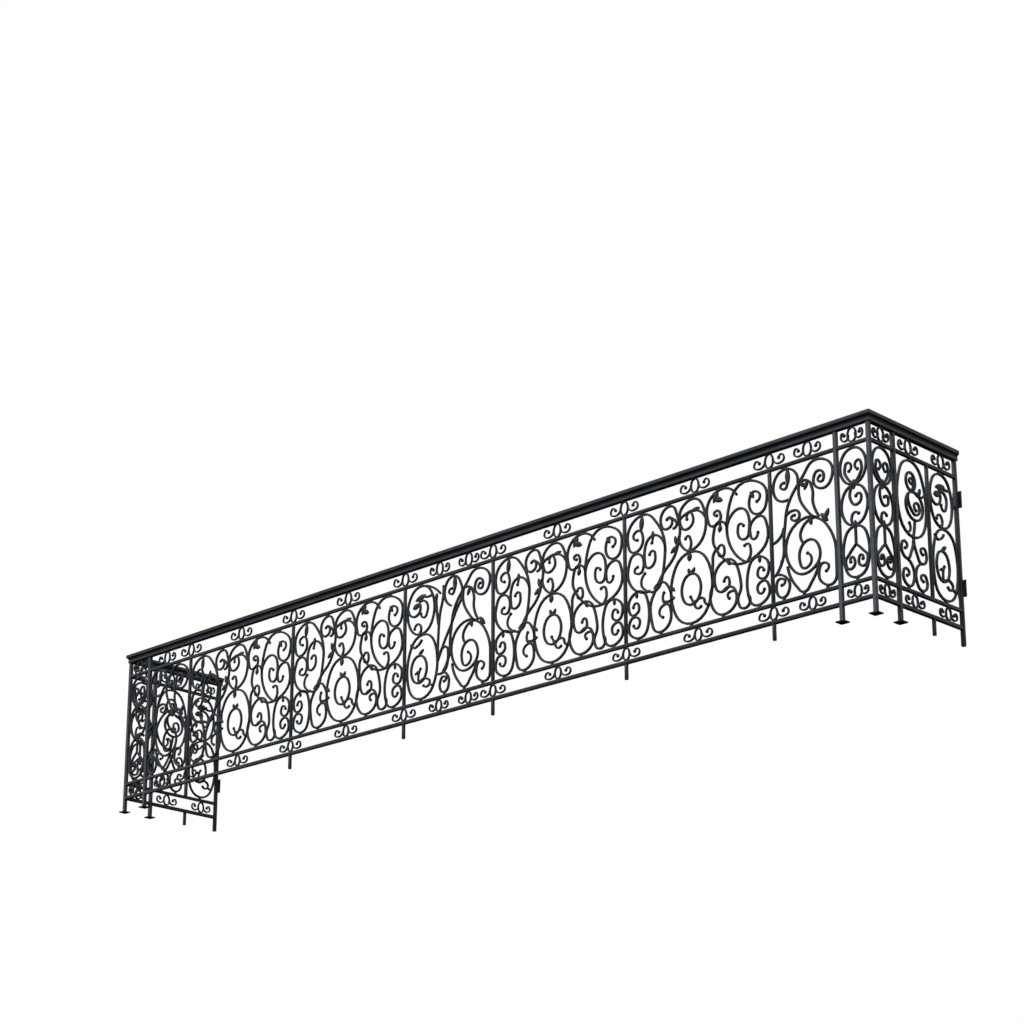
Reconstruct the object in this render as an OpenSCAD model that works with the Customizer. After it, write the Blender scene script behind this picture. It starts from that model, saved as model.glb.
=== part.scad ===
// Wrought iron balcony railing: a front run and two short returns that end at the wall.
// X runs along the front, Y runs back to the wall, Z is up from the slab.
// The origin is at the bottom centre of the whole railing.

/* [Run] */
// Corner post centre to corner post centre along the front
front_run = 5865; // [3000:5:9000]
// Front corner post centre to the wall face
side_run = 750; // [500:5:1500]
// Corner post to the next full-height post, on the front and on each return
narrow_bay = 200; // [140:1:320]
// Outer bay of the front run, between a full-height post and the first bar
outer_bay = 417; // [300:1:600]
// Centre bay of the front run
centre_bay = 711; // [500:1:1000]
// Second bay of each return
return_bay = 283; // [200:1:500]

/* [Heights] */
// Slab to the top of the handrail
total_height = 1050; // [800:5:1300]
// Slab to the centre of the bottom rail
bottom_rail_z = 94; // [60:1:150]
// Slab to the centre of the lower panel rail
lower_rail_z = 186; // [140:1:260]
// Top of the handrail down to the centre of the upper panel rail
upper_rail_drop = 148; // [110:1:220]

/* [Bars] */
// Side of the square full-height posts
post_size = 20; // [14:1:40]
// Side of the square panel bars and of the feet below them
bar_size = 16; // [10:1:30]
// Side of the upper and lower panel rails
rail_size = 18; // [10:1:30]
// Side of the bottom rail
bottom_rail_size = 20; // [12:1:40]
// Width of the moulded handrail
handrail_width = 52; // [40:1:90]
// Height of the moulded handrail
handrail_height = 56; // [40:1:90]

/* [Scrolls] */
// Width of a scroll bar, seen from the front
scroll_width = 12; // [8:0.5:16]
// Depth of a scroll bar, front to back
scroll_depth = 12; // [6:0.5:16]
// Radius of the round eye at the end of a scroll
eye_radius = 9.5; // [6:0.5:14]
// Width of the lug that ties a scroll to the frame
collar_width = 14; // [8:0.5:24]
// Width of a frieze bar, seen from the front
frieze_width = 9; // [6:0.5:14]
// How far a frieze scroll reaches out from its ring
frieze_reach = 74; // [50:1:110]
// How far a straight facet along a scroll may stand off its true arc
arc_sag = 1; // [0.2:0.1:1.2]

/* [Fixings] */
// Side of the square base plates below the full-height posts
plate_size = 52; // [40:1:90]
// Thickness of the base plates and wall plates
plate_thickness = 6; // [4:0.5:12]
// Height of the wall plates
wall_plate_height = 90; // [60:1:140]
// Hole in a plate, clear for an M8 anchor
anchor_hole = 9; // [6:0.5:14]
// Base plate hole spacing, both ways
plate_hole_spacing = 36; // [28:1:70]
// Wall plate hole spacing, up and down
wall_hole_spacing = 62; // [40:1:110]
// Panel rail centre to the centre of the nearer wall plate
wall_plate_inset = 120; // [80:1:220]

/* [Hidden] */

iron = [0.13, 0.15, 0.18];
iron_light = [0.17, 0.19, 0.22];
plate_iron = [0.1, 0.11, 0.13];

wide_bay = (front_run - 2 * narrow_bay - 2 * outer_bay - centre_bay) / 4;
half = front_run / 2;
upper_rail_z = total_height - upper_rail_drop;
front_y = -(side_run - handrail_width / 2) / 2;
wall_y = front_y + side_run;
handrail_z = total_height - handrail_height;
// The wall post stands clear of the wall plates.
wall_post_y = side_run - plate_thickness - post_size / 2;
upper_open = upper_rail_z - rail_size / 2;
lower_open = lower_rail_z + rail_size / 2;
// Bar positions along the front, from the left corner post.
front_bars = [
    narrow_bay + outer_bay,
    narrow_bay + outer_bay + wide_bay,
    narrow_bay + outer_bay + 2 * wide_bay,
    front_run - narrow_bay - outer_bay - 2 * wide_bay,
    front_run - narrow_bay - outer_bay - wide_bay,
    front_run - narrow_bay - outer_bay
];
end_posts = [narrow_bay, front_run - narrow_bay];
return_bar = narrow_bay + return_bay;
wall_bay = wall_post_y - return_bar;

// Places what is drawn along X from 0 on the front run, or on a return from the corner post back.
module on_front() {
    translate([-half, front_y, 0]) children();
}

module on_side(side) {
    translate([side * half, front_y, 0]) rotate([0, 0, 90]) children();
}

// Scroll work. A stroke is a bar that follows hand-set points with arcs that meet in line.
function unit(v) = v / norm(v);
function cross2(a, b) = a[0] * b[1] - a[1] * b[0];
function mirrored(t, chord) = 2 * (unit(chord) * t) * unit(chord) - t;
// Direction at the middle one of three points, along the circle through them.
function middle_way(a, b, c) = unit((b - a) * pow(norm(c - b), 2) + (c - b) * pow(norm(b - a), 2));
function way(p, i, closed) =
    let (n = len(p))
    closed ? middle_way(p[(i + n - 1) % n], p[i], p[(i + 1) % n])
    : n == 2 ? unit(p[1] - p[0])
    : i == 0 ? mirrored(middle_way(p[0], p[1], p[2]), p[1] - p[0])
    : i == n - 1 ? mirrored(middle_way(p[n - 3], p[n - 2], p[n - 1]), p[n - 1] - p[n - 2])
    : middle_way(p[i - 1], p[i], p[i + 1]);
// Where the two arcs between two points meet.
function arc_joint(a, ta, b, tb) =
    let (
        v = b - a,
        k = 1 - ta * tb,
        s = v * (ta + tb),
        d = k < 0.0001 ? v * v / (4 * (v * tb)) : (sqrt(s * s + 2 * k * (v * v)) - s) / (2 * k)
    )
    (a + b + d * (ta - tb)) / 2;

// Places and directions along one arc, after its start.
function arc_marks(a, ta, b) =
    let (
        v = b - a,
        turn = 2 * atan2(cross2(ta, v), ta * v),
        r = abs(turn) < 0.05 ? 0 : norm(v) / (2 * sin(turn / 2)),
        step = r == 0 ? 90 : min(30, 2 * acos(max(0, 1 - arc_sag / abs(r)))),
        steps = max(1, round(abs(turn) / step))
    )
    [for (k = [1 : steps])
        let (w = turn * k / steps, t = [ta[0] * cos(w) - ta[1] * sin(w), ta[0] * sin(w) + ta[1] * cos(w)])
        r == 0 ? [a + v * k / steps, ta] : [a + r * [t[1] - ta[1], ta[0] - t[0]], t]];

function path_marks(p, closed) =
    let (last = closed ? len(p) - 1 : len(p) - 2)
    concat(
        [[p[0], way(p, 0, closed)]],
        [for (i = [0 : last])
            let (
                a = p[i],
                b = p[(i + 1) % len(p)],
                ta = way(p, i, closed),
                m = arc_joint(a, ta, b, way(p, (i + 1) % len(p), closed))
            )
            each concat(arc_marks(a, ta, m), arc_marks(m, mirrored(ta, m - a), b))]
    );

function beside(mark, d) = mark[0] + d * [-mark[1][1], mark[1][0]];

// Flat outline of a stroke.
module stroke(p, width, closed = false) {
    marks = path_marks(p, closed);
    n = closed ? len(marks) - 1 : len(marks);
    one_side = [for (i = [0 : n - 1]) beside(marks[i], width / 2)];
    other_side = [for (i = [n - 1 : -1 : 0]) beside(marks[i], -width / 2)];
    if (closed)
        difference() {
            polygon(area_of(one_side) > area_of(other_side) ? one_side : other_side);
            polygon(area_of(one_side) > area_of(other_side) ? other_side : one_side);
        }
    else
        polygon(concat(one_side, other_side));
}

function area_of(p) = abs(total([for (i = [0 : len(p) - 1]) cross2(p[i], p[(i + 1) % len(p)])])) / 2;
function total(list, i = 0) = i < len(list) ? list[i] + total(list, i + 1) : 0;

module eye(p, r) {
    translate(p) circle(r = r, $fn = 40);
}

// A leaf is the part shared by two round plates.
module leaf(p, length, width, angle) {
    r = (length * length / 4 + width * width / 4) / width;
    translate(p)
        rotate(angle)
            intersection() {
                translate([0, r - width / 2]) circle(r = r, $fn = 90);
                translate([0, width / 2 - r]) circle(r = r, $fn = 90);
            }
}

// Stands a flat drawing up in the plane of the bars.
module stand_up() {
    translate([0, scroll_depth / 2, 0]) rotate([90, 0, 0]) linear_extrude(scroll_depth) children();
}

// Patterns are set out on a grid: 100 units from the lower to the upper rail centre,
// and the same unit across from the centre of the bar at the left of the bay.
// Open strokes start and end in an eye where the two marks before the points are 1.
function flipped(list, w) = [for (s = list) [s[0], s[1], [for (q = s[2]) [w - q[0], q[1]]]]];
function shifted(list, dx) = [for (s = list) [s[0], s[1], [for (q = s[2]) [q[0] + dx, q[1]]]]];
function shifted_marks(list, dx) = [for (q = list) [q[0] + dx, q[1], q[2], q[3], q[4]]];

// Lower oval that leans on a bar, with two curls inside.
side_oval = [
    [1, 1, [[7.6, 27.6], [9.8, 30.3], [13.2, 26], [8.5, 21.4], [2.9, 29.5], [11, 38.6], [22.8, 21], [12, 3],
        [2.9, 12.5], [8.5, 19.9], [13.7, 15], [10.1, 10.9], [7.6, 13.4]]]
];
wide_width = 136.8;
wide_strokes = concat(
    side_oval,
    flipped(side_oval, wide_width),
    [
        [1, 1, [[12.4, 78.8], [8.6, 82], [13, 86], [18, 78.5], [10, 69.7], [2.9, 82.5], [18, 97.2],
            [34, 84], [39, 64], [22, 36.6], [15.6, 45], [19.2, 51.2]]],
        [1, 0, [[12.2, 57.8], [9.4, 55.8], [13.5, 52.3], [18.4, 59.5], [11, 68.4], [2.9, 57], [11, 39.5],
            [24, 36.8]]],
        [1, 0, [[24, 64.8], [26.8, 67], [29.6, 61.5], [23.7, 54.5], [19, 65], [28, 78.7], [37.5, 72],
            [39, 63]]],
        [0, 1, [[28, 78.5], [26.5, 73.2]]],
        [1, 1, [[41.3, 87.6], [44, 88.8], [46.3, 84.5], [40, 80.3], [35.3, 87.5], [43.5, 97.2], [52.5, 84],
            [50, 62], [33, 42], [24, 21], [34, 3.2], [43.7, 13.5], [38, 23.2], [32.7, 17], [35.8, 13.8]]],
        [0, 0, [[28, 37], [35, 40.8], [43, 33], [42.8, 20]]],
        [0, 0, [[43.6, 88], [48.8, 85.4], [50.4, 81], [47, 79.2]]],
        [1, 0, [[37.2, 32.2], [36, 28.6], [37.8, 24]]],
        [0, 0, [[37, 25.8], [41.6, 24.6], [47, 26.8]]],
        [1, 0, [[60.3, 83], [61.4, 87.3], [66.3, 82], [60.5, 75.3], [53.2, 86], [64, 97.3], [78, 79],
            [69, 60], [60, 58.2]]],
        [0, 0, [[53.5, 84.5], [59, 87.2], [67, 88.3], [77.4, 80.5]]],
        [1, 0, [[58.6, 68.3], [61, 70], [63.4, 66.5], [62, 59]]],
        [0, 0, [[52.5, 72], [55, 63.5], [61, 58.4]]],
        [1, 0, [[62.2, 23.2], [65, 17.8]]],
        [0, 1, [[67, 19.5], [66.6, 14.6], [69, 13], [71.6, 13.9]]],
        [0, 0, [[69.5, 20], [74, 19.5], [75.8, 15.5], [79, 13]]],
        [1, 0, [[88.2, 78.6], [85.7, 80.3], [88.5, 82.3], [91.7, 78.5], [85.5, 71.3], [79, 82], [90, 97.3],
            [107, 89.5]]],
        [0, 1, [[97, 65.5], [90.7, 73.3], [84.3, 63], [90, 48.5], [112, 37], [134, 56], [126, 68.6],
            [117.9, 60], [122.5, 52.7], [125, 56.6]]],
        [0, 1, [[89, 49.3], [92.5, 46.8], [94.4, 51], [91.2, 55.5], [88.6, 53.6]]],
        [0, 0, [[86.6, 53], [84.3, 50], [83.4, 42], [82.6, 32]]],
        [0, 1, [[91, 73.2], [90.8, 67.6]]],
        [1, 0, [[93.4, 27.8], [95.4, 30.3], [98.3, 26], [92, 20.3], [84.6, 32], [94, 43], [108.6, 22],
            [105.9, 8.3], [108.5, 4.2], [114.4, 13]]],
        [0, 0, [[83.3, 27], [80.7, 15], [92, 3.2], [104.4, 14.5], [98.5, 22.6], [92.5, 20.6]]],
        [1, 0, [[97.6, 14], [96.4, 17], [99.5, 18.8], [104, 17]]],
        [1, 0, [[124.9, 79.9], [127.6, 82.5], [123, 88], [117.8, 80.5], [126.3, 70.2], [134, 83],
            [119, 97.3], [97, 66], [113, 37.6]]],
        [1, 0, [[112.2, 65], [109.6, 67], [106.9, 61.5], [112.8, 54.5], [117.6, 64], [109, 78.7],
            [99, 72.5], [97.3, 63]]],
        [1, 0, [[112.8, 49.8], [115.3, 50.6], [118.2, 45], [115, 37.8]]]
    ]
);
wide_rings = [
    [[63, 57.3], [43.9, 31], [62.5, 3.2], [82.6, 31]],
    [[63, 40.6], [54, 29], [62.5, 17.3], [72, 29]]
];
wide_leaves = [
    [16.8, 90.6, 13, 4.6, 84], [49.6, 69, 9, 3.6, 104], [47.8, 63, 9, 3.8, 34], [68.5, 88.6, 9, 3.6, 6],
    [87.6, 93, 10, 4.6, 62], [89.6, 90.6, 10, 4.6, -24], [45.8, 33, 6, 2.8, -50],
    [62, 53.6, 7, 4.6, 84], [61.4, 42.6, 6, 3.2, 110], [65.2, 42.4, 6, 3.2, 60], [120.6, 86, 7, 3.4, 120],
    [11, 36, 5, 3, 90], [125.8, 36, 5, 3, 90], [27.4, 79.4, 6, 3.2, 80], [90.8, 68, 6, 4, 74],
    [98, 40.6, 6, 3.4, -50]
];
wide_collars = [
    [18, 97.2, 90], [43.5, 97.2, 90], [64, 97.3, 90], [90, 97.3, 90], [119, 97.3, 90],
    [12, 3, 270], [34, 3.2, 270], [62.5, 3.2, 270], [92, 3.2, 270], [124.8, 3, 270],
    [2.9, 82.5, 180], [2.9, 57, 180], [2.9, 29.5, 180], [2.9, 12.5, 180],
    [134, 83, 0], [134, 56, 0], [133.9, 29.5, 0], [133.9, 12.5, 0]
];

outer_width = 58.2;
outer_strokes = [
    [0, 0, [[24.6, 84], [13.5, 97.2], [2.9, 84.5], [8.5, 74.6], [15.8, 74]]],
    [1, 0, [[12.6, 87.2], [9.6, 86], [12.4, 82.4], [16, 86.8], [15.3, 96.8]]],
    [1, 0, [[44, 84.3], [42, 82], [45, 79.8], [47.2, 84], [42.5, 88.5], [38.2, 83], [46, 74.6], [54.9, 85],
        [41.5, 97.2], [26.5, 85], [16, 71], [11.4, 50], [9, 30], [3, 20.6]]],
    [0, 1, [[26, 84.5], [25.2, 75], [33, 60], [48, 47.5], [55.3, 26], [47, 3.6], [40, 12.5], [45, 20.3],
        [48.6, 16.8], [46.4, 14]]],
    [0, 0, [[28, 84.5], [33.5, 83.5], [36.8, 77], [37.4, 65], [42, 55]]],
    [0, 1, [[41.5, 54], [30, 56.8], [12.8, 32], [30.5, 16.5], [41.8, 28.5], [32, 40], [23.8, 29.5],
        [29.5, 20.2], [34.2, 26.5], [31, 30.6]]],
    [0, 0, [[13.4, 25], [20, 9.5], [27, 3.4], [34.5, 10], [40.6, 22]]],
    [0, 0, [[38, 55], [28.5, 51.5], [25.3, 44], [28, 38.6]]],
    [1, 0, [[7.8, 12.6], [10.6, 14], [7, 17.6], [3, 11], [9.5, 3.4], [14.6, 9.5], [9, 19.6], [2.9, 21]]],
    [0, 0, [[2.9, 44.8], [8, 48], [11.2, 54]]],
    [0, 1, [[13.5, 62.5], [18, 64.6], [24.4, 62.6], [24.6, 58.2], [20, 57.2], [18, 60], [20.8, 61]]]
];
outer_leaves = [
    [15.6, 91.5, 11, 4, 88], [31.6, 80.6, 8, 3.6, 64], [34.6, 53, 6, 3.4, 100], [46.5, 53, 10, 4, -50],
    [48.4, 55, 9, 4, 62], [8.8, 30, 7, 3, 60], [28.4, 82, 7, 3.4, -50]
];
outer_collars = [
    [13.5, 97.2, 90], [41.5, 97.2, 90], [27, 3.4, 270], [47, 3.6, 270], [9.5, 3.4, 270],
    [2.9, 84.5, 180], [3, 11, 180], [2.9, 20.8, 180], [2.9, 44.8, 180],
    [54.9, 85, 0], [55.3, 26, 0]
];

// The two ovals, one on the other, at the left of the centre bay and by the wall.
pair_strokes = [
    [0, 0, [[4, 79.6], [7, 74.6], [12.4, 73], [17.4, 76.6], [17, 82.6]]],
    [0, 1, [[16.4, 84], [24.8, 82.4], [26.2, 75.6], [21.6, 70.2], [18.6, 74]]],
    [0, 0, [[20.4, 88.6], [26.6, 86.6], [31.6, 87.4]]],
    [0, 1, [[17, 57.4], [19, 62], [15, 66], [11.4, 62.6]]],
    [0, 0, [[7.4, 50.4], [11, 47], [15.8, 48.2], [20, 52.2]]],
    [0, 1, [[16.7, 17], [16.4, 22.6], [18.6, 28]]],
    [1, 0, [[22.4, 13.4], [26.2, 12], [29.4, 15.2], [25.4, 18.8], [18.4, 17.2]]],
    [0, 0, [[28.8, 13.2], [33.6, 11.6]]]
];
pair_rings = [
    [[18.5, 97.2], [3.1, 78], [19.6, 56.7], [34, 77]],
    [[20.6, 56.1], [3.5, 32], [19, 3], [37.8, 29]],
    [[16.8, 39.2], [8, 28], [16.8, 16.6], [25.8, 28]]
];
pair_leaves = [
    [18, 87.4, 13, 4.8, 14], [13.2, 81.2, 9, 5.2, 16], [19.2, 41.6, 8, 3.4, 34], [15, 25.4, 7, 2.8, 22]
];
pair_collars = [[18.5, 97.2, 90], [19, 3, 270], [3.1, 78, 180], [3.5, 32, 180]];

centre_width = 99.3;
centre_shift = centre_width - outer_width;
centre_strokes = concat(
    pair_strokes,
    shifted([for (i = [1 : 7]) outer_strokes[i]], centre_shift),
    [
        [0, 0, [[24, 96.4], [33, 92.6], [40.8, 86]]],
        [0, 0, [[44.2, 92], [44, 84], [40.2, 68], [38.6, 50], [37.8, 32]]],
        [0, 0, [[36, 86], [36.4, 76], [38.8, 60]]],
        [0, 0, [[53, 73], [45.4, 84], [55, 97.2], [65.2, 85], [56, 63], [44, 42], [38, 30]]],
        [0, 0, [[41, 37], [46, 40.6], [49.8, 30.5], [44, 19.8], [37, 20]]],
        [1, 0, [[45.5, 12.4], [47.8, 14.4], [45, 16.4], [41, 12], [46, 3.4], [51, 11.5], [45, 20]]]
    ]
);
centre_leaves = concat(
    pair_leaves,
    shifted_marks([for (i = [0 : 3]) outer_leaves[i]], centre_shift),
    [[36.2, 84, 7, 3.6, 80]]
);
centre_collars = [
    [18.5, 97.2, 90], [55, 97.2, 90], [41.5 + centre_shift, 97.2, 90],
    [19, 3, 270], [46, 3.4, 270], [27 + centre_shift, 3.4, 270], [47 + centre_shift, 3.6, 270],
    [3.1, 78, 180], [3.5, 32, 180],
    [54.9 + centre_shift, 85, 0], [55.3 + centre_shift, 26, 0]
];

narrow_width = 27.9;
narrow_mid = narrow_width / 2;
narrow_half = [
    [1, 0, [[10.4, 80.8], [12.4, 84], [9.6, 87.2], [6.8, 82.5], [9.5, 75], [narrow_mid, 71]]],
    [1, 0, [[8.8, 15.4], [9.6, 18.4], [12.4, 15], [8.6, 10.2], [4.7, 16], [8.8, 22], [narrow_mid, 27]]]
];
narrow_strokes = concat(
    narrow_half,
    flipped(narrow_half, narrow_width),
    [
        [1, 0, [[15.4, 61.6], [18.2, 63], [19.8, 59], [15.5, 55.2], [10.6, 60.5], [narrow_mid, 70]]],
        [0, 1, [[12.4, 41.6], [11, 46], [13.8, 50], [17, 48.6]]],
        [0, 0, [[narrow_mid, 40.6], [narrow_mid, 26]]]
    ]
);
narrow_rings = [
    [[narrow_mid, 97.2], [3, 84], [narrow_mid, 70.6], [narrow_width - 3, 84]],
    [[narrow_mid, 70], [2.9, 55.5], [narrow_mid, 40.8], [narrow_width - 2.9, 55.5]],
    [[narrow_mid, 40.2], [3, 22], [narrow_mid, 3.4], [narrow_width - 3, 22]]
];
narrow_leaves = [[narrow_mid, 70.4, 8, 3.6, 90], [narrow_mid, 40.6, 8, 3.6, 90]];
narrow_collars = [
    [narrow_mid, 97.2, 90], [narrow_mid, 3.4, 270],
    [3, 84, 180], [2.9, 55.5, 180], [3, 22, 180],
    [narrow_width - 3, 84, 0], [narrow_width - 2.9, 55.5, 0], [narrow_width - 3, 22, 0]
];

middle_width = 39.5;
middle_mid = middle_width / 2;
middle_half = [
    [1, 0, [[9.4, 30.4], [11.8, 32.6], [8.6, 35.4], [5, 30.5], [10.4, 23.2], [17.4, 31],
        [middle_mid, 40.4]]],
    [1, 0, [[10.2, 10.6], [12.8, 12.8], [9.4, 15.6], [5.6, 10.6], [11.6, 3.4], [18.8, 12], [10.4, 23.4]]]
];
middle_strokes = concat(
    middle_half,
    flipped(middle_half, middle_width),
    [
        [1, 0, [[20.6, 80.4], [18, 81.8], [20.2, 84.6], [22.8, 80.6], [19.4, 75.4]]],
        [1, 0, [[24.6, 61.4], [22.4, 64.2], [25.6, 67.4], [28.8, 63], [24.4, 58], [18, 61.8], [15.6, 71]]],
        [0, 0, [[24.6, 74.2], [30.6, 72.6], [36, 76.4]]],
        [0, 1, [[12.4, 43], [16.4, 45.2], [15.8, 50.2]]],
        [0, 0, [[middle_mid, 40.8], [21.4, 47], [22.4, 54]]]
    ]
);
middle_rings = [
    [[middle_mid, 97.2], [2.9, 73], [middle_mid, 40.6], [middle_width - 2.9, 73]],
    [[19.4, 88.4], [14, 81.6], [19.4, 75], [24.8, 81.6]],
    [[22.4, 74.6], [12.6, 64], [22.4, 53.8], [32.8, 64]]
];
middle_leaves = [[middle_mid, 37, 7, 3.6, 90], [29.6, 76.2, 7, 3.4, 74]];
middle_collars = [
    [middle_mid, 97.2, 90], [11.6, 3.4, 270], [middle_width - 11.6, 3.4, 270],
    [2.9, 73, 180], [middle_width - 2.9, 73, 0]
];

pair_width = 40.3;

module scroll_panel(width, grid_width, strokes, rings, leaves, collars, left_face, right_face) {
    across = width / grid_width;
    up = (upper_rail_z - lower_rail_z) / 100;
    function at(q) = [q[0] * across, lower_rail_z + q[1] * up];
    module collar(p, side) {
        reach = side == 90 ? upper_open - p[1]
            : side == 270 ? p[1] - lower_open
            : side == 180 ? p[0] - left_face
            : width - right_face - p[0];
        translate(p) rotate(side) translate([0, -collar_width / 2]) square([reach, collar_width]);
    }
    for (s = strokes) {
        p = [for (q = s[2]) at(q)];
        stand_up() stroke(p, scroll_width);
        if (s[0] == 1) stand_up() eye(p[0], eye_radius);
        if (s[1] == 1) stand_up() eye(p[len(p) - 1], eye_radius);
    }
    for (s = rings) stand_up() stroke([for (q = s) at(q)], scroll_width, true);
    for (q = leaves) stand_up() leaf(at(q), q[2] * up, q[3] * up, q[4]);
    for (q = collars) stand_up() collar(at(q), q[2]);
}

post_face = post_size / 2;
bar_face = bar_size / 2;

// Panels and posts, each drawn along X from the corner post.
module narrow_panel(x) {
    translate([x, 0, 0])
        scroll_panel(narrow_bay, narrow_width, narrow_strokes, narrow_rings, narrow_leaves, narrow_collars,
            post_face, post_face);
}

module outer_panel(x, left_face, right_face) {
    translate([x, 0, 0])
        scroll_panel(outer_bay, outer_width, outer_strokes, [], outer_leaves, outer_collars,
            left_face, right_face);
}

module wide_panel(x) {
    translate([x, 0, 0])
        scroll_panel(wide_bay, wide_width, wide_strokes, wide_rings, wide_leaves, wide_collars,
            bar_face, bar_face);
}

module middle_panel() {
    translate([narrow_bay, 0, 0])
        scroll_panel(return_bay, middle_width, middle_strokes, middle_rings, middle_leaves, middle_collars,
            post_face, bar_face);
}

module wall_panel() {
    translate([return_bar, 0, 0])
        scroll_panel(wall_bay, pair_width, pair_strokes, pair_rings, pair_leaves,
            concat(pair_collars, [[37.8, 29, 0], [34, 77, 0]]), bar_face, post_face);
}

module upright(x, size, bottom, top) {
    translate([x - size / 2, -size / 2, bottom]) cube([size, size, top - bottom]);
}

module full_post(x, plate = true) {
    upright(x, post_size, plate ? plate_thickness : 0, handrail_z);
    if (plate)
        translate([x, 0, 0])
            difference() {
                translate([-plate_size / 2, -plate_size / 2, 0])
                    cube([plate_size, plate_size, plate_thickness]);
                for (i = [-1, 1], j = [-1, 1])
                    translate([i * plate_hole_spacing / 2, j * plate_hole_spacing / 2, -1])
                        cylinder(d = anchor_hole, h = plate_thickness + 2, $fn = 32);
            }
}

// A rail is cut into lengths between the full-height posts it meets.
module rail(stops, size, z) {
    for (s = stops)
        translate([s[0], -size / 2, z - size / 2])
            cube([s[1] - s[0], size, size]);
}

front_stops = [
    [post_face, narrow_bay - post_face],
    [narrow_bay + post_face, front_run - narrow_bay - post_face],
    [front_run - narrow_bay + post_face, front_run - post_face]
];
side_stops = [
    [post_face, narrow_bay - post_face],
    [narrow_bay + post_face, wall_post_y - post_face]
];

// Handrail section: sub-bar, step and rounded cap, drawn from its underside.
cap_half = handrail_width / 2;
nose_r = handrail_height * 0.14;
dome_half = cap_half * 0.85;
dome_rise = handrail_height * 0.25;
dome_r = (dome_half * dome_half + dome_rise * dome_rise) / (2 * dome_rise);

module rail_section() {
    translate([-cap_half * 0.58, 0]) square([cap_half * 1.16, handrail_height * 0.34]);
    translate([-cap_half * 0.78, handrail_height * 0.28]) square([cap_half * 1.56, handrail_height * 0.2]);
    translate([-cap_half + nose_r, handrail_height * 0.47])
        square([handrail_width - 2 * nose_r, nose_r * 2]);
    for (i = [-1, 1])
        translate([i * (cap_half - nose_r), handrail_height * 0.47 + nose_r]) circle(r = nose_r, $fn = 48);
    intersection() {
        translate([0, handrail_height - dome_r]) circle(r = dome_r, $fn = 120);
        translate([-dome_half, handrail_height * 0.6]) square([dome_half * 2, handrail_height]);
    }
}

module rail_length(from, to) {
    translate([from, 0, handrail_z])
        rotate([90, 0, 90])
            linear_extrude(to - from) rail_section();
}

// Frieze motif: a ring that touches the rails above and below, with a scroll on each side.
module frieze_ring(x, z, open_height, reach) {
    h = (open_height - frieze_width) / 2;
    w = h * 0.68;
    lap = frieze_width / 4;
    translate([x, 0, z]) {
        stand_up() stroke([[0, h], [-w, 0], [0, -h], [w, 0]], frieze_width, true);
        for (i = [-1, 1]) {
            p = [[i * w, h * 0.25], [i * (w + reach * 0.42), -h * 0.72], [i * (w + reach * 0.95), 0],
                [i * (w + reach * 0.7), h * 0.5], [i * (w + reach * 0.5), h * 0.1]];
            stand_up() stroke(p, frieze_width);
            stand_up() eye(p[4], eye_radius);
            stand_up()
                translate([-collar_width / 2, i > 0 ? h - lap : -open_height / 2])
                    square([collar_width, open_height / 2 - h + lap]);
        }
    }
}

front_rings = concat(
    [for (x = front_bars) x],
    [for (i = [0 : 1]) front_bars[i] + wide_bay / 2],
    [for (i = [3 : 4]) front_bars[i] + wide_bay / 2]
);
centre_rings = [front_bars[2] + centre_bay * 0.4, front_bars[2] + centre_bay * 0.73];
short_rings = [narrow_bay / 2, front_run - narrow_bay / 2];
outer_rings = [narrow_bay + outer_bay * 0.42, front_run - narrow_bay - outer_bay * 0.42];

module frieze(z, open_height, rings) {
    for (r = rings) frieze_ring(r[0], z, open_height, r[1]);
}

upper_frieze_z = (upper_rail_z + rail_size / 2 + handrail_z) / 2;
upper_frieze_open = handrail_z - upper_rail_z - rail_size / 2;
lower_frieze_z = (lower_rail_z - rail_size / 2 + bottom_rail_z + bottom_rail_size / 2) / 2;
lower_frieze_open = lower_rail_z - rail_size / 2 - bottom_rail_z - bottom_rail_size / 2;
front_frieze = concat(
    [for (x = front_rings) [x, frieze_reach]],
    [for (x = centre_rings) [x, frieze_reach * 0.74]],
    [for (x = short_rings) [x, narrow_bay * 0.21]],
    [for (x = outer_rings) [x, frieze_reach * 0.8]]
);
side_frieze = [
    [narrow_bay / 2, narrow_bay * 0.21],
    [narrow_bay + return_bay * 0.46, return_bay * 0.21],
    [return_bar + wall_bay * 0.52, wall_bay * 0.22]
];

module wall_plate(z) {
    translate([side_run, 0, z])
        rotate([0, -90, 0])
            difference() {
                translate([-wall_plate_height / 2, -plate_size / 2, 0])
                    cube([wall_plate_height, plate_size, plate_thickness]);
                for (i = [-1, 1])
                    translate([i * wall_hole_spacing / 2, 0, -1])
                        cylinder(d = anchor_hole, h = plate_thickness + 2, $fn = 32);
            }
}

module handrail_front() {
    color(iron_light)
        intersection() {
            on_front() rail_length(-handrail_width, front_run + handrail_width);
            translate([0, front_y, handrail_z - 1])
                linear_extrude(handrail_height + 2)
                    polygon([
                        [-half - cap_half, -cap_half], [half + cap_half, -cap_half],
                        [half - cap_half, cap_half], [-half + cap_half, cap_half]
                    ]);
        }
}

module handrail_side(side) {
    color(iron_light)
        intersection() {
            on_side(side) rail_length(-handrail_width, side_run);
            translate([0, front_y, handrail_z - 1])
                linear_extrude(handrail_height + 2)
                    polygon([
                        [side * (half + cap_half), -cap_half], [side * (half - cap_half), cap_half],
                        [side * (half - cap_half), side_run], [side * (half + cap_half), side_run]
                    ]);
        }
}

module handrail_left() { handrail_side(-1); }
module handrail_right() { handrail_side(1); }

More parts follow.
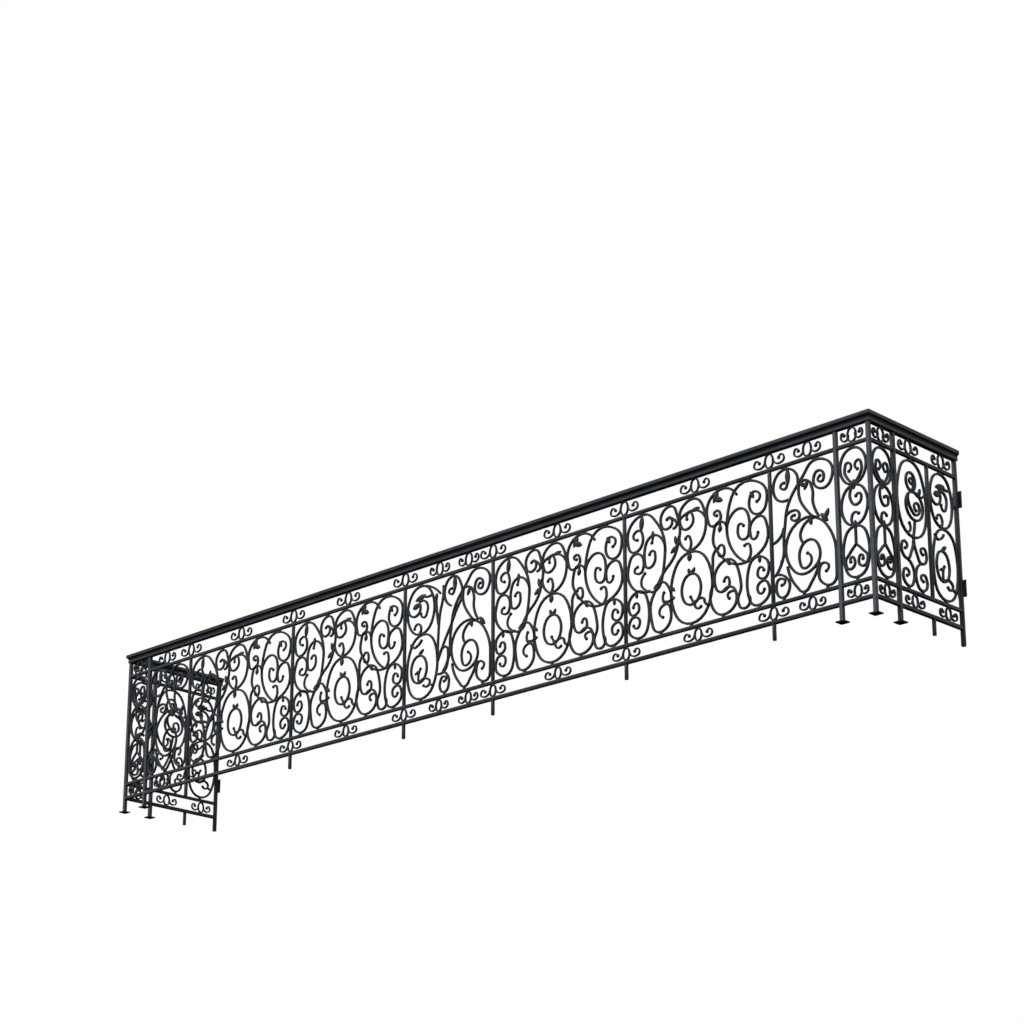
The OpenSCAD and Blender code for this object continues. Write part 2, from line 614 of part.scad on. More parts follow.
module upper_rail_front() { color(iron) on_front() rail(front_stops, rail_size, upper_rail_z); }
module upper_rail_left() { color(iron) on_side(-1) rail(side_stops, rail_size, upper_rail_z); }
module upper_rail_right() { color(iron) on_side(1) rail(side_stops, rail_size, upper_rail_z); }
module lower_rail_front() { color(iron) on_front() rail(front_stops, rail_size, lower_rail_z); }
module lower_rail_left() { color(iron) on_side(-1) rail(side_stops, rail_size, lower_rail_z); }
module lower_rail_right() { color(iron) on_side(1) rail(side_stops, rail_size, lower_rail_z); }
module bottom_rail_front() { color(iron) on_front() rail(front_stops, bottom_rail_size, bottom_rail_z); }
module bottom_rail_left() { color(iron) on_side(-1) rail(side_stops, bottom_rail_size, bottom_rail_z); }
module bottom_rail_right() { color(iron) on_side(1) rail(side_stops, bottom_rail_size, bottom_rail_z); }

module corner_post_left() { color(iron) on_front() full_post(0); }
module corner_post_right() { color(iron) on_front() full_post(front_run); }
module front_end_posts() { color(iron) on_front() for (x = end_posts) full_post(x); }
module return_post_left() { color(iron) on_side(-1) full_post(narrow_bay); }
module return_post_right() { color(iron) on_side(1) full_post(narrow_bay); }
module wall_post_left() { color(iron) on_side(-1) full_post(wall_post_y, false); }
module wall_post_right() { color(iron) on_side(1) full_post(wall_post_y, false); }

module panel_bars_front() {
    color(iron)
        on_front()
            for (x = front_bars) upright(x, bar_size, lower_open, upper_open);
}

module panel_bars_return() {
    color(iron)
        for (side = [-1, 1])
            on_side(side) upright(return_bar, bar_size, lower_open, upper_open);
}

module feet_front() {
    color(iron)
        on_front()
            for (x = front_bars) upright(x, bar_size, 0, bottom_rail_z - bottom_rail_size / 2);
}

module feet_return() {
    color(iron)
        for (side = [-1, 1])
            on_side(side) upright(return_bar, bar_size, 0, bottom_rail_z - bottom_rail_size / 2);
}

module narrow_scroll_left() { color(iron) on_front() narrow_panel(0); }
module narrow_scroll_right() { color(iron) on_front() narrow_panel(front_run - narrow_bay); }
module outer_scroll_left() { color(iron) on_front() outer_panel(narrow_bay, post_face, bar_face); }
module outer_scroll_right() { color(iron) on_front() outer_panel(front_bars[5], bar_face, post_face); }
module wide_scroll_1() { color(iron) on_front() wide_panel(front_bars[0]); }
module wide_scroll_2() { color(iron) on_front() wide_panel(front_bars[1]); }
module wide_scroll_3() { color(iron) on_front() wide_panel(front_bars[3]); }
module wide_scroll_4() { color(iron) on_front() wide_panel(front_bars[4]); }

module centre_scroll() {
    color(iron)
        on_front()
            translate([front_bars[2], 0, 0])
                scroll_panel(centre_bay, centre_width, centre_strokes, pair_rings, centre_leaves,
                    centre_collars, bar_face, bar_face);
}

module return_narrow_scroll_left() { color(iron) on_side(-1) narrow_panel(0); }
module return_narrow_scroll_right() { color(iron) on_side(1) narrow_panel(0); }
module return_middle_scroll_left() { color(iron) on_side(-1) middle_panel(); }
module return_middle_scroll_right() { color(iron) on_side(1) middle_panel(); }
module return_wall_scroll_left() { color(iron) on_side(-1) wall_panel(); }
module return_wall_scroll_right() { color(iron) on_side(1) wall_panel(); }

module upper_frieze(rings) { frieze(upper_frieze_z, upper_frieze_open, rings); }
module lower_frieze(rings) { frieze(lower_frieze_z, lower_frieze_open, rings); }
module upper_frieze_front() { color(iron) on_front() upper_frieze(front_frieze); }
module upper_frieze_left() { color(iron) on_side(-1) upper_frieze(side_frieze); }
module upper_frieze_right() { color(iron) on_side(1) upper_frieze(side_frieze); }
module lower_frieze_front() { color(iron) on_front() lower_frieze(front_frieze); }
module lower_frieze_left() { color(iron) on_side(-1) lower_frieze(side_frieze); }
module lower_frieze_right() { color(iron) on_side(1) lower_frieze(side_frieze); }

module wall_plates() {
    color(plate_iron)
        for (side = [-1, 1], z = [lower_rail_z + wall_plate_inset, upper_rail_z - wall_plate_inset])
            on_side(side) wall_plate(z);
}

handrail_front();
handrail_left();
handrail_right();
upper_rail_front();
upper_rail_left();
upper_rail_right();
lower_rail_front();
lower_rail_left();
lower_rail_right();
bottom_rail_front();
bottom_rail_left();
bottom_rail_right();
corner_post_left();
corner_post_right();
front_end_posts();
return_post_left();
return_post_right();
wall_post_left();
wall_post_right();
panel_bars_front();
panel_bars_return();
feet_front();
feet_return();
narrow_scroll_left();
narrow_scroll_right();
outer_scroll_left();
outer_scroll_right();
wide_scroll_1();
wide_scroll_2();
wide_scroll_3();
wide_scroll_4();
centre_scroll();
return_narrow_scroll_left();
return_narrow_scroll_right();
return_middle_scroll_left();
return_middle_scroll_right();
return_wall_scroll_left();
return_wall_scroll_right();
upper_frieze_front();
upper_frieze_left();
upper_frieze_right();
lower_frieze_front();
lower_frieze_left();
lower_frieze_right();
wall_plates();
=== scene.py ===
import math

import bmesh
import bpy
from mathutils import Matrix, Vector


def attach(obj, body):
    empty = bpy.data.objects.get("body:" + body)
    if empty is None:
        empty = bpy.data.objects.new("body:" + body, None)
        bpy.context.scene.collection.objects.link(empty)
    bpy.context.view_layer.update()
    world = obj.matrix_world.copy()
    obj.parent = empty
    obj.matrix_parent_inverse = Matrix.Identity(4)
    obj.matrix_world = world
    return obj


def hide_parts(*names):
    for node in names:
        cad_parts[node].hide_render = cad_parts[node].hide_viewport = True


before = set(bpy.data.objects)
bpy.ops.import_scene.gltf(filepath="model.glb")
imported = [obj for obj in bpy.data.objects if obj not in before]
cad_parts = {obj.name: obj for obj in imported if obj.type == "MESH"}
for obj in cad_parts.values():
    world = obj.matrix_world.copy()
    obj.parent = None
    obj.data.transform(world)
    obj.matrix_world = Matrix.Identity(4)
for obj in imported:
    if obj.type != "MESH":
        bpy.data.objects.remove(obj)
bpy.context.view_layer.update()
print("frame loaded:", len(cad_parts), "nodes")

# Sizes in millimetres, the same as in the part's source.
layout = {
    "frontRun": 5865, "sideRun": 750, "narrowBay": 200, "outerBay": 417, "centreBay": 711, "returnBay": 283,
    "totalHeight": 1050, "bottomRailZ": 94, "lowerRailZ": 186, "upperRailZ": 902,
    "post": 20, "bar": 16, "rail": 18, "bottomRail": 20, "handrailWidth": 52, "handrailHeight": 56,
    "plateThickness": 6,
}
frontRun = layout["frontRun"]
wideBay = (frontRun - 2 * layout["narrowBay"] - 2 * layout["outerBay"] - layout["centreBay"]) / 4
half = frontRun / 2
frontY = -(layout["sideRun"] - layout["handrailWidth"] / 2) / 2
handrailZ = layout["totalHeight"] - layout["handrailHeight"]
wallPostY = layout["sideRun"] - layout["plateThickness"] - layout["post"] / 2
upperOpen = layout["upperRailZ"] - layout["rail"] / 2
lowerOpen = layout["lowerRailZ"] + layout["rail"] / 2
firstBar = layout["narrowBay"] + layout["outerBay"]
frontBars = [firstBar, firstBar + wideBay, firstBar + 2 * wideBay]
frontBars += [frontRun - x for x in reversed(frontBars)]
returnBar = layout["narrowBay"] + layout["returnBay"]
wallBay = wallPostY - returnBar
postFace = layout["post"] / 2
barFace = layout["bar"] / 2


def onFront(x=0):
    return Matrix.Translation((x - half, frontY, 0))


def onSide(side, x=0):
    return Matrix.Translation((side * half, frontY + x, 0)) @ Matrix.Rotation(math.pi / 2, 4, "Z")


# Camera, light and floor

stage = {
    "cameraPlace": (9.542, -9.685, -3.683),
    "cameraTurn": 44.117,       # degrees to the left of +Y
    "cameraTilt": 16.864,       # degrees up
    "lens": 87.19,
    "shift": 0.15,
    "sensor": 36,
    "viewDepth": 200,
    "skyColour": (0.93, 0.97, 1, 1),
    "skyLight": 0.34,
    "floorSize": 30,
    "floorRough": 0.9,
    "floorGloss": 0.2,
    "floorColour": (0.80, 0.80, 0.79, 1),
    "floorBounce": (0.22, 0.22, 0.21, 1),   # what the floor gives back to the iron
}
suns = {
    "softKey": {"strength": 2.8, "spread": 40, "turn": -38, "height": 47},
    "softFill": {"strength": 1.3, "spread": 70, "turn": 60, "height": 35},
}


def colourSocket(sockets, name):
    return [s for s in sockets if s.name == name and s.type == "RGBA"][0]


# 1 for camera rays and for rays that mirror or pass through a surface, else 0.
def seenShare(tree):
    path = tree.nodes.new("ShaderNodeLightPath")
    share = path.outputs["Is Camera Ray"]
    for ray in ("Is Glossy Ray", "Is Transmission Ray"):
        joined = tree.nodes.new("ShaderNodeMath")
        joined.operation = "MAXIMUM"
        tree.links.new(share, joined.inputs[0])
        tree.links.new(path.outputs[ray], joined.inputs[1])
        share = joined.outputs[0]
    return share


camera = bpy.data.objects.new("photoCamera", bpy.data.cameras.new("photoCamera"))
bpy.context.scene.collection.objects.link(camera)
camera.data.sensor_width = stage["sensor"]
camera.data.lens = stage["lens"]
camera.data.shift_y = stage["shift"]
camera.data.clip_end = stage["viewDepth"]
camera.location = stage["cameraPlace"]
camera.rotation_euler = (math.pi / 2 + math.radians(stage["cameraTilt"]), 0,
                         math.radians(stage["cameraTurn"]))
bpy.context.scene.camera = camera
bpy.context.scene.view_settings.view_transform = "Standard"

world = bpy.data.worlds.new("paleSky")
bpy.context.scene.world = world
world.use_nodes = True
sky = world.node_tree
sky.nodes.clear()
skyOut = sky.nodes.new("ShaderNodeOutputWorld")
lit = sky.nodes.new("ShaderNodeBackground")
lit.inputs["Color"].default_value = stage["skyColour"]
lit.inputs["Strength"].default_value = stage["skyLight"]
seen = sky.nodes.new("ShaderNodeBackground")
seen.inputs["Color"].default_value = (1, 1, 1, 1)
pick = sky.nodes.new("ShaderNodeMixShader")
sky.links.new(seenShare(sky), pick.inputs[0])
sky.links.new(lit.outputs[0], pick.inputs[1])
sky.links.new(seen.outputs[0], pick.inputs[2])
sky.links.new(pick.outputs[0], skyOut.inputs["Surface"])


def addSun(name, strength, spread, turn, height):
    sun = bpy.data.objects.new(name, bpy.data.lights.new(name, "SUN"))
    bpy.context.scene.collection.objects.link(sun)
    sun.data.energy = strength
    sun.data.angle = math.radians(spread)
    sun.rotation_euler = (math.radians(90 - height), 0, math.radians(turn))


for name, sun in suns.items():
    addSun(name, **sun)

floorMesh = bpy.data.meshes.new("floor")
bm = bmesh.new()
bmesh.ops.create_grid(bm, x_segments=2, y_segments=2, size=stage["floorSize"])
bm.to_mesh(floorMesh)
bm.free()
floor = bpy.data.objects.new("floor", floorMesh)
bpy.context.scene.collection.objects.link(floor)
floorPaint = bpy.data.materials.new("paleFloor")
floorPaint.use_nodes = True
tree = floorPaint.node_tree
floorShader = tree.nodes["Principled BSDF"]
floorTone = tree.nodes.new("ShaderNodeMix")
floorTone.data_type = "RGBA"
colourSocket(floorTone.inputs, "A").default_value = stage["floorBounce"]
colourSocket(floorTone.inputs, "B").default_value = stage["floorColour"]
tree.links.new(seenShare(tree), floorTone.inputs["Factor"])
tree.links.new(colourSocket(floorTone.outputs, "Result"), floorShader.inputs["Base Color"])
floorShader.inputs["Roughness"].default_value = stage["floorRough"]
floorShader.inputs["Specular IOR Level"].default_value = stage["floorGloss"]
clear = tree.nodes.new("ShaderNodeBsdfTransparent")
sides = tree.nodes.new("ShaderNodeNewGeometry")
oneSided = tree.nodes.new("ShaderNodeMixShader")
tree.links.new(sides.outputs["Backfacing"], oneSided.inputs[0])
tree.links.new(floorShader.outputs[0], oneSided.inputs[1])
tree.links.new(clear.outputs[0], oneSided.inputs[2])
tree.links.new(oneSided.outputs[0], tree.nodes["Material Output"].inputs["Surface"])
floorMesh.materials.append(floorPaint)
print("stage set")


# Finishes

# Scale, detail and roughness of each noise
noises = {
    "mottle": (9, 5, 0.55), "tint": (2.1, 3, 0.55), "dust": (38, 6, 0.65), "rough": (55, 4, 0.55),
    "grain": (620, 3, 0.55), "brush": (130, 4, 0.6),
}
# Where each share starts and is full: of a noise, or of the upward part of the surface's direction
ranges = {
    "mottle": (0.35, 0.68), "tint": (0.56, 0.72), "dust": (0.36, 0.7), "rough": (0.3, 0.7),
    "upward": (0.35, 1.0), "downward": (-0.10, -0.70), "shine": (-0.70, -0.05),
}
bumpDepth = {"grain": 0.0004, "brush": 0.0012}      # metres


def paintedIron(name, look):
    material = bpy.data.materials.new(name)
    material.use_nodes = True
    tree = material.node_tree
    shader = tree.nodes["Principled BSDF"]
    place = tree.nodes.new("ShaderNodeTexCoord")

    def noise(kind):
        made = tree.nodes.new("ShaderNodeTexNoise")
        for socket, number in zip(("Scale", "Detail", "Roughness"), noises[kind]):
            made.inputs[socket].default_value = number
        tree.links.new(place.outputs["Object"], made.inputs["Vector"])
        return made.outputs["Fac"]

    def span(value, kind, toLow=0.0, toHigh=1.0):
        low, high = ranges[kind]
        made = tree.nodes.new("ShaderNodeMapRange")
        for socket, number in (("From Min", low), ("From Max", high), ("To Min", toLow), ("To Max", toHigh)):
            made.inputs[socket].default_value = number
        tree.links.new(value, made.inputs["Value"])
        return made.outputs["Result"]

    def mixed(factor, first, second):
        made = tree.nodes.new("ShaderNodeMix")
        made.data_type = "RGBA"
        tree.links.new(factor, made.inputs["Factor"])
        for socket, colour in (("A", first), ("B", second)):
            target = colourSocket(made.inputs, socket)
            if isinstance(colour, tuple):
                target.default_value = (*colour, 1)
            else:
                tree.links.new(colour, target)
        return colourSocket(made.outputs, "Result")

    def product(first, second):
        made = tree.nodes.new("ShaderNodeMath")
        made.operation = "MULTIPLY"
        tree.links.new(first, made.inputs[0])
        if isinstance(second, float):
            made.inputs[1].default_value = second
        else:
            tree.links.new(second, made.inputs[1])
        return made.outputs[0]

    paint = mixed(span(noise("mottle"), "mottle"), look["deep"], look["light"])
    paint = mixed(product(span(noise("tint"), "tint"), look["tintShare"]), paint, look["tint"])
    # Dust lies on what faces up.
    normal = tree.nodes.new("ShaderNodeNewGeometry")
    parts = tree.nodes.new("ShaderNodeSeparateXYZ")
    tree.links.new(normal.outputs["Normal"], parts.inputs[0])
    upward = span(parts.outputs["Z"], "upward")
    dusty = product(product(upward, span(noise("dust"), "dust")), look["dustShare"])
    paint = mixed(dusty, paint, look["dust"])
    # Painted shade: what faces down is mixed towards a near-black colour and its specular fades out, standing
    # in for the shade under things.
    below = span(parts.outputs["Z"], "downward")
    paint = mixed(product(below, look["paintedUnderShadeShare"]), paint, look["paintedUnderShade"])
    tree.links.new(paint, shader.inputs["Base Color"])
    shine = span(parts.outputs["Z"], "shine", 0.0, look["gloss"])
    tree.links.new(shine, shader.inputs["Specular IOR Level"])
    rough = span(noise("rough"), "rough", look["roughLow"], look["roughHigh"])
    tree.links.new(rough, shader.inputs["Roughness"])

    grain = noise("grain")
    brush = noise("brush")
    bumpFine = tree.nodes.new("ShaderNodeBump")
    bumpFine.inputs["Strength"].default_value = look["grain"]
    bumpFine.inputs["Distance"].default_value = bumpDepth["grain"]
    tree.links.new(grain, bumpFine.inputs["Height"])
    bumpBroad = tree.nodes.new("ShaderNodeBump")
    bumpBroad.inputs["Strength"].default_value = look["hammer"]
    bumpBroad.inputs["Distance"].default_value = bumpDepth["brush"]
    tree.links.new(brush, bumpBroad.inputs["Height"])
    tree.links.new(bumpFine.outputs["Normal"], bumpBroad.inputs["Normal"])
    tree.links.new(bumpBroad.outputs["Normal"], shader.inputs["Normal"])
    return material


barLook = {
    "deep": (0.0125, 0.0170, 0.0225), "light": (0.0250, 0.0310, 0.0380),
    "tint": (0.036, 0.032, 0.022), "tintShare": 0.35,
    "dust": (0.095, 0.096, 0.094), "dustShare": 0.36,
    # near-black colour painted on what faces down: painted shade
    "paintedUnderShade": (0.0055, 0.0055, 0.0052), "paintedUnderShadeShare": 0.8,
    "gloss": 0.10, "roughLow": 0.36, "roughHigh": 0.52, "grain": 0.16, "hammer": 0.22,
}
# The scrolls' paint is darker than the bars' paint: painted shade, for the shade on the scrolls' fronts and
# sides.
scrollPaintedShadeLook = dict(barLook, deep=(0.0105, 0.0145, 0.0195), light=(0.0215, 0.0270, 0.0335),
                  roughLow=0.34, roughHigh=0.50, hammer=0.30)
# The handrail's paint is lighter than the bars' paint: painted light, for the light its front faces catch.
handrailPaintedLightLook = dict(barLook, deep=(0.0190, 0.0240, 0.0300), light=(0.0360, 0.0420, 0.0490),
                    tintShare=0.12, roughLow=0.28, roughHigh=0.42, dustShare=0.50, hammer=0.10)
fixingLook = dict(barLook, deep=(0.010, 0.013, 0.018), light=(0.021, 0.025, 0.031),
                  tint=(0.060, 0.036, 0.022), tintShare=0.55, roughLow=0.45, roughHigh=0.62, hammer=0.35)
barPaint = paintedIron("barPaint", barLook)
scrollPaint = paintedIron("scrollPaint", scrollPaintedShadeLook)
handrailPaint = paintedIron("handrailPaint", handrailPaintedLightLook)
fixingPaint = paintedIron("fixingPaint", fixingLook)


# Adds a finished piece to the scene.
def addPiece(name, bm, material, slot, *nodes, sharp=38):
    mesh = bpy.data.meshes.new(name)
    bm.to_mesh(mesh)
    bm.free()
    mesh.materials.clear()
    mesh.materials.append(material)
    mesh.shade_smooth()
    mesh.set_sharp_from_angle(angle=math.radians(sharp))
    piece = bpy.data.objects.new(name, mesh)
    bpy.context.scene.collection.objects.link(piece)
    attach(piece, "root")
    if nodes:
        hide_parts(*nodes)
    return piece


# Rails, posts and plates: merged copies of the CAD nodes with eased edges

straight = {
    "upperRailFront": ("upper_rail_front", "bars", 1.3), "upperRailLeft": ("upper_rail_left", "bars", 1.3),
    "upperRailRight": ("upper_rail_right", "bars", 1.3),
    "lowerRailFront": ("lower_rail_front", "bars", 1.3), "lowerRailLeft": ("lower_rail_left", "bars", 1.3),
    "lowerRailRight": ("lower_rail_right", "bars", 1.3),
    "bottomRailFront": ("bottom_rail_front", "bars", 1.5), "bottomRailLeft": ("bottom_rail_left", "bars", 1.5),
    "bottomRailRight": ("bottom_rail_right", "bars", 1.5),
    "cornerPostLeft": ("corner_post_left", "bars", 1.4), "cornerPostRight": ("corner_post_right", "bars", 1.4),
    "frontEndPosts": ("front_end_posts", "bars", 1.4),
    "returnPostLeft": ("return_post_left", "bars", 1.4), "returnPostRight": ("return_post_right", "bars", 1.4),
    "wallPostLeft": ("wall_post_left", "bars", 1.4), "wallPostRight": ("wall_post_right", "bars", 1.4),
    "panelBarsFront": ("panel_bars_front", "bars", 1.3), "panelBarsReturn": ("panel_bars_return", "bars", 1.3),
    "feetFront": ("feet_front", "bars", 1.3), "feetReturn": ("feet_return", "bars", 1.3),
    "wallPlates": ("wall_plates", "fixings", 1.0),
}
slotPaint = {"bars": barPaint, "fixings": fixingPaint}
easing = {"merge": 0.00001, "flatAngle": 1, "edgeAngle": 30}      # metres and degrees


def easedCopy(name, source, slot, ease):
    bm = bmesh.new()
    bm.from_mesh(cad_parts[source].data)
    bmesh.ops.remove_doubles(bm, verts=bm.verts, dist=easing["merge"])
    bmesh.ops.dissolve_limit(bm, angle_limit=math.radians(easing["flatAngle"]), verts=bm.verts, edges=bm.edges)
    turned = math.radians(easing["edgeAngle"])
    edges = [e for e in bm.edges if len(e.link_faces) == 2 and e.calc_face_angle() > turned]
    bmesh.ops.bevel(bm, geom=edges, offset=ease / 1000, offset_type="OFFSET", segments=2, profile=0.5,
                    affect="EDGES", material=-1, clamp_overlap=True)
    addPiece(name, bm, slotPaint[slot], slot, source)


for name, (source, slot, ease) in straight.items():
    easedCopy(name, source, slot, ease)
print("rails, posts and plates eased")


# Handrail: sub-bar, cove, nose and low crown, swept along each length and mitred at the corners

railShape = {
    "subHalf": 15.1, "subTop": 14.6,
    "quirk": 12.6,                   # half width of the groove under the cove
    "footEase": 1.3, "topEase": 0.7, "quirkRise": 0.2,
    "coveFoot": 16.4, "coveOut": 25.4, "coveSteep": 82, "coveFlat": 20, "coveSteps": 8,
    "noseLip": 0.4, "noseEase": 1.5, "noseTop": 52.5, "noseSteps": 5, "crownSteps": 6,
}


def railSide():
    shape = railShape
    out = layout["handrailWidth"] / 2
    ease = shape["noseEase"]
    foot, top = shape["footEase"], shape["topEase"]
    side = [(shape["subHalf"] - foot, 0), (shape["subHalf"], foot),
            (shape["subHalf"], shape["subTop"] - top), (shape["subHalf"] - top, shape["subTop"]),
            (shape["quirk"], shape["subTop"] + shape["quirkRise"]), (shape["quirk"], shape["coveFoot"])]
    steep, flat = math.radians(shape["coveSteep"]), math.radians(shape["coveFlat"])
    hollow = (shape["coveOut"] - shape["quirk"]) / (math.sin(steep) - math.sin(flat))
    for i in range(1, shape["coveSteps"] + 1):
        turn = steep + (flat - steep) * i / shape["coveSteps"]
        side.append((shape["quirk"] + hollow * (math.sin(steep) - math.sin(turn)),
                     shape["coveFoot"] + hollow * (math.cos(turn) - math.cos(steep))))
    noseFoot = side[-1][1] + shape["noseLip"]
    for z, start in ((noseFoot + ease, -90), (shape["noseTop"] - ease, 0)):
        for i in range(shape["noseSteps"] + 1):
            turn = math.radians(start + 90 * i / shape["noseSteps"])
            side.append((out - ease + ease * math.cos(turn), z + ease * math.sin(turn)))
    last = side[-1][0]
    for i in range(1, shape["crownSteps"] + 1):
        turn = math.pi / 2 * i / shape["crownSteps"]
        side.append((last * math.cos(turn),
                     shape["noseTop"] + (layout["handrailHeight"] - shape["noseTop"]) * math.sin(turn)))
    return side


def addHandrail(name, source, place, length, outward, endMitre):
    side = railSide()
    section = side + [(-d, z) for d, z in reversed(side[:-1])]
    bm = bmesh.new()
    ends = []
    for x, mitre in ((0, -1), (length, endMitre)):
        ends.append([bm.verts.new(place @ Vector((x + mitre * d, -outward * d, handrailZ + z)))
                     for d, z in section])
    for i in range(len(section)):
        bm.faces.new((ends[0][i], ends[0][i - 1], ends[1][i - 1], ends[1][i]))
    bm.faces.new(ends[0])
    bm.faces.new(ends[1])
    bmesh.ops.recalc_face_normals(bm, faces=bm.faces)
    bm.transform(Matrix.Scale(0.001, 4))
    addPiece(name, bm, handrailPaint, "handrail", source)


addHandrail("handrailFront", "handrail_front", onFront(), frontRun, 1, 1)
addHandrail("handrailLeft", "handrail_left", onSide(-1), layout["sideRun"], -1, 0)
addHandrail("handrailRight", "handrail_right", onSide(1), layout["sideRun"], 1, 0)
print("handrail built")


# Scroll work: bars that follow listed points with arcs that meet in line

scroll = {
    "width": 13,        # across the bar; 1 more than in the solids, nearer to the photograph
    "friezeWidth": 9,   # across a bar of the friezes
    "depth": 12,        # front to back
    "corner": 1.9,      # rounding of the bar's long edges
    "eyeRadius": 10.0,
    "eyeDepth": 16.4,
    "steps": 4,         # steps in one arc
    "thinEnd": 0.86,    # how far a bar narrows towards its eye
    "thinMarks": 6,     # over how many marks it narrows
    "merge": 0.002,
}
leaf = {"depth": 15, "edge": 1.02, "fullness": 0.3, "groove": 0.74, "grooveHalf": 0.08}
lug = {
    "width": 12, "depth": 12.4, "ease": 0.8,
    "bandFrom": 9,      # shorter lugs have no band
    "bandWidth": 16, "bandDepth": 15, "bandLength": 4.6, "bandEase": 1.1, "bandAside": 2,
}


def arcWay(a, b, c):
    return ((b - a) * (c - b).length_squared + (c - b) * (b - a).length_squared).normalized()


def mirroredWay(way, chord):
    u = chord.normalized()
    return 2 * u.dot(way) * u - way


def wayAt(p, i, closed):
    n = len(p)
    if closed:
        return arcWay(p[i - 1], p[i], p[(i + 1) % n])
    if n == 2:
        return (p[1] - p[0]).normalized()
    if i == 0:
        return mirroredWay(arcWay(p[0], p[1], p[2]), p[1] - p[0])
    if i == n - 1:
        return mirroredWay(arcWay(p[-3], p[-2], p[-1]), p[-1] - p[-2])
    return arcWay(p[i - 1], p[i], p[i + 1])


# Where the two arcs between two points meet.
def arcJoint(a, wayA, b, wayB):
    v = b - a
    k = 1 - wayA.dot(wayB)
    s = v.dot(wayA + wayB)
    if k < 0.0001:
        d = v.length_squared / (4 * v.dot(wayB))
    else:
        d = (math.sqrt(s * s + 2 * k * v.length_squared) - s) / (2 * k)
    return (a + b + d * (wayA - wayB)) / 2


def handleLength(way, v):
    turn = 2 * math.atan2(abs(way.x * v.y - way.y * v.x), way.dot(v))
    if turn < 0.002:
        return v.length / 3
    return v.length * 2 / 3 * math.tan(turn / 4) / math.sin(turn / 2)


def addStroke(curve, points, closed=False, thinStart=False, thinEnd=False):
    p = [Vector(q) for q in points]
    n = len(p)
    marks = []
    for i in range(n if closed else n - 1):
        a, b = p[i], p[(i + 1) % n]
        wayA = wayAt(p, i, closed)
        joint = arcJoint(a, wayA, b, wayAt(p, (i + 1) % n, closed))
        marks += [(a, wayA), (joint, mirroredWay(wayA, joint - a))]
    if not closed:
        marks.append((p[-1], wayAt(p, n - 1, False)))
    spline = curve.splines.new("BEZIER")
    spline.bezier_points.add(len(marks) - 1)
    spline.use_cyclic_u = closed
    spline.resolution_u = scroll["steps"]
    for i, (place, way) in enumerate(marks):
        before, beforeWay = marks[i - 1]
        after = marks[(i + 1) % len(marks)][0]
        back = 1 if i == 0 and not closed else handleLength(beforeWay, place - before)
        fore = 1 if i == len(marks) - 1 and not closed else handleLength(way, after - place)
        point = spline.bezier_points[i]
        point.handle_left_type = "FREE"
        point.handle_right_type = "FREE"
        point.co = place.to_3d()
        point.handle_left = (place - way * back).to_3d()
        point.handle_right = (place + way * fore).to_3d()
        ends = [i] * thinStart + [len(marks) - 1 - i] * thinEnd
        thin = scroll["thinEnd"]
        point.radius = min([1] + [thin + (1 - thin) * k / scroll["thinMarks"] for k in ends])


def barSection(name, width):
    curve = bpy.data.curves.new(name, "CURVE")
    spline = curve.splines.new("POLY")
    w, d, c = width / 2, scroll["depth"] / 2, scroll["corner"]
    quarter = [(w, d - c), (w - c * 0.13, d - c * 0.5), (w - c * 0.5, d - c * 0.13), (w - c, d)]
    points = quarter + [(-x, y) for x, y in reversed(quarter)]
    points += [(-x, -y) for x, y in points]
    spline.points.add(len(points) - 1)
    for point, (x, y) in zip(spline.points, points):
        point.co = (x, y, 0, 1)
    spline.use_cyclic_u = True
    section = bpy.data.objects.new(name, curve)
    bpy.context.scene.collection.objects.link(section)
    return section


panelSection = barSection("panelSection", scroll["width"])
friezeSection = barSection("friezeSection", scroll["friezeWidth"])
upright = Matrix.Rotation(math.pi / 2, 4, "X")      # a drawing on X and Y stands up on X and Z


def newBars(section):
    curve = bpy.data.curves.new("bars", "CURVE")
    curve.dimensions = "2D"
    curve.fill_mode = "NONE"
    curve.bevel_mode = "OBJECT"
    curve.bevel_object = section
    curve.use_fill_caps = True
    return curve


def barsToMesh(curve, bm, place):
    drawn = bpy.data.objects.new("bars", curve)
    bpy.context.scene.collection.objects.link(drawn)
    bpy.context.view_layer.update()
    mesh = bpy.data.meshes.new_from_object(drawn.evaluated_get(bpy.context.evaluated_depsgraph_get()))
    mesh.transform(place @ upright)
    bm.from_mesh(mesh)
    bmesh.ops.remove_doubles(bm, verts=bm.verts, dist=scroll["merge"])
    bmesh.ops.recalc_face_normals(bm, faces=bm.faces)
    bpy.data.objects.remove(drawn)
    bpy.data.meshes.remove(mesh)


def addEye(bm, place, q, radius):
    size = Matrix.Diagonal((radius, scroll["eyeDepth"] / 2, radius, 1))
    bmesh.ops.create_uvsphere(bm, u_segments=16, v_segments=8, radius=1,
                              matrix=place @ Matrix.Translation((q[0], 0, q[1])) @ size @ upright)


# A leaf is a pointed pillow with a groove along its middle.
def addLeaf(bm, place, q, length, width, angle):
    made = bmesh.ops.create_uvsphere(bm, u_segments=16, v_segments=12, radius=1,
                                     matrix=Matrix.Rotation(math.pi / 2, 4, "Y"))["verts"]
    for v in made:
        v.co.z *= (leaf["edge"] - v.co.x ** 2) ** leaf["fullness"]
        v.co.y *= leaf["groove"] if abs(v.co.z) < leaf["grooveHalf"] else 1.0
    size = Matrix.Diagonal((length / 2, leaf["depth"] / 2, width / 2, 1))
    turn = Matrix.Rotation(-math.radians(angle), 4, "Y")
    bmesh.ops.transform(bm, matrix=place @ Matrix.Translation((q[0], 0, q[1])) @ turn @ size, verts=made)


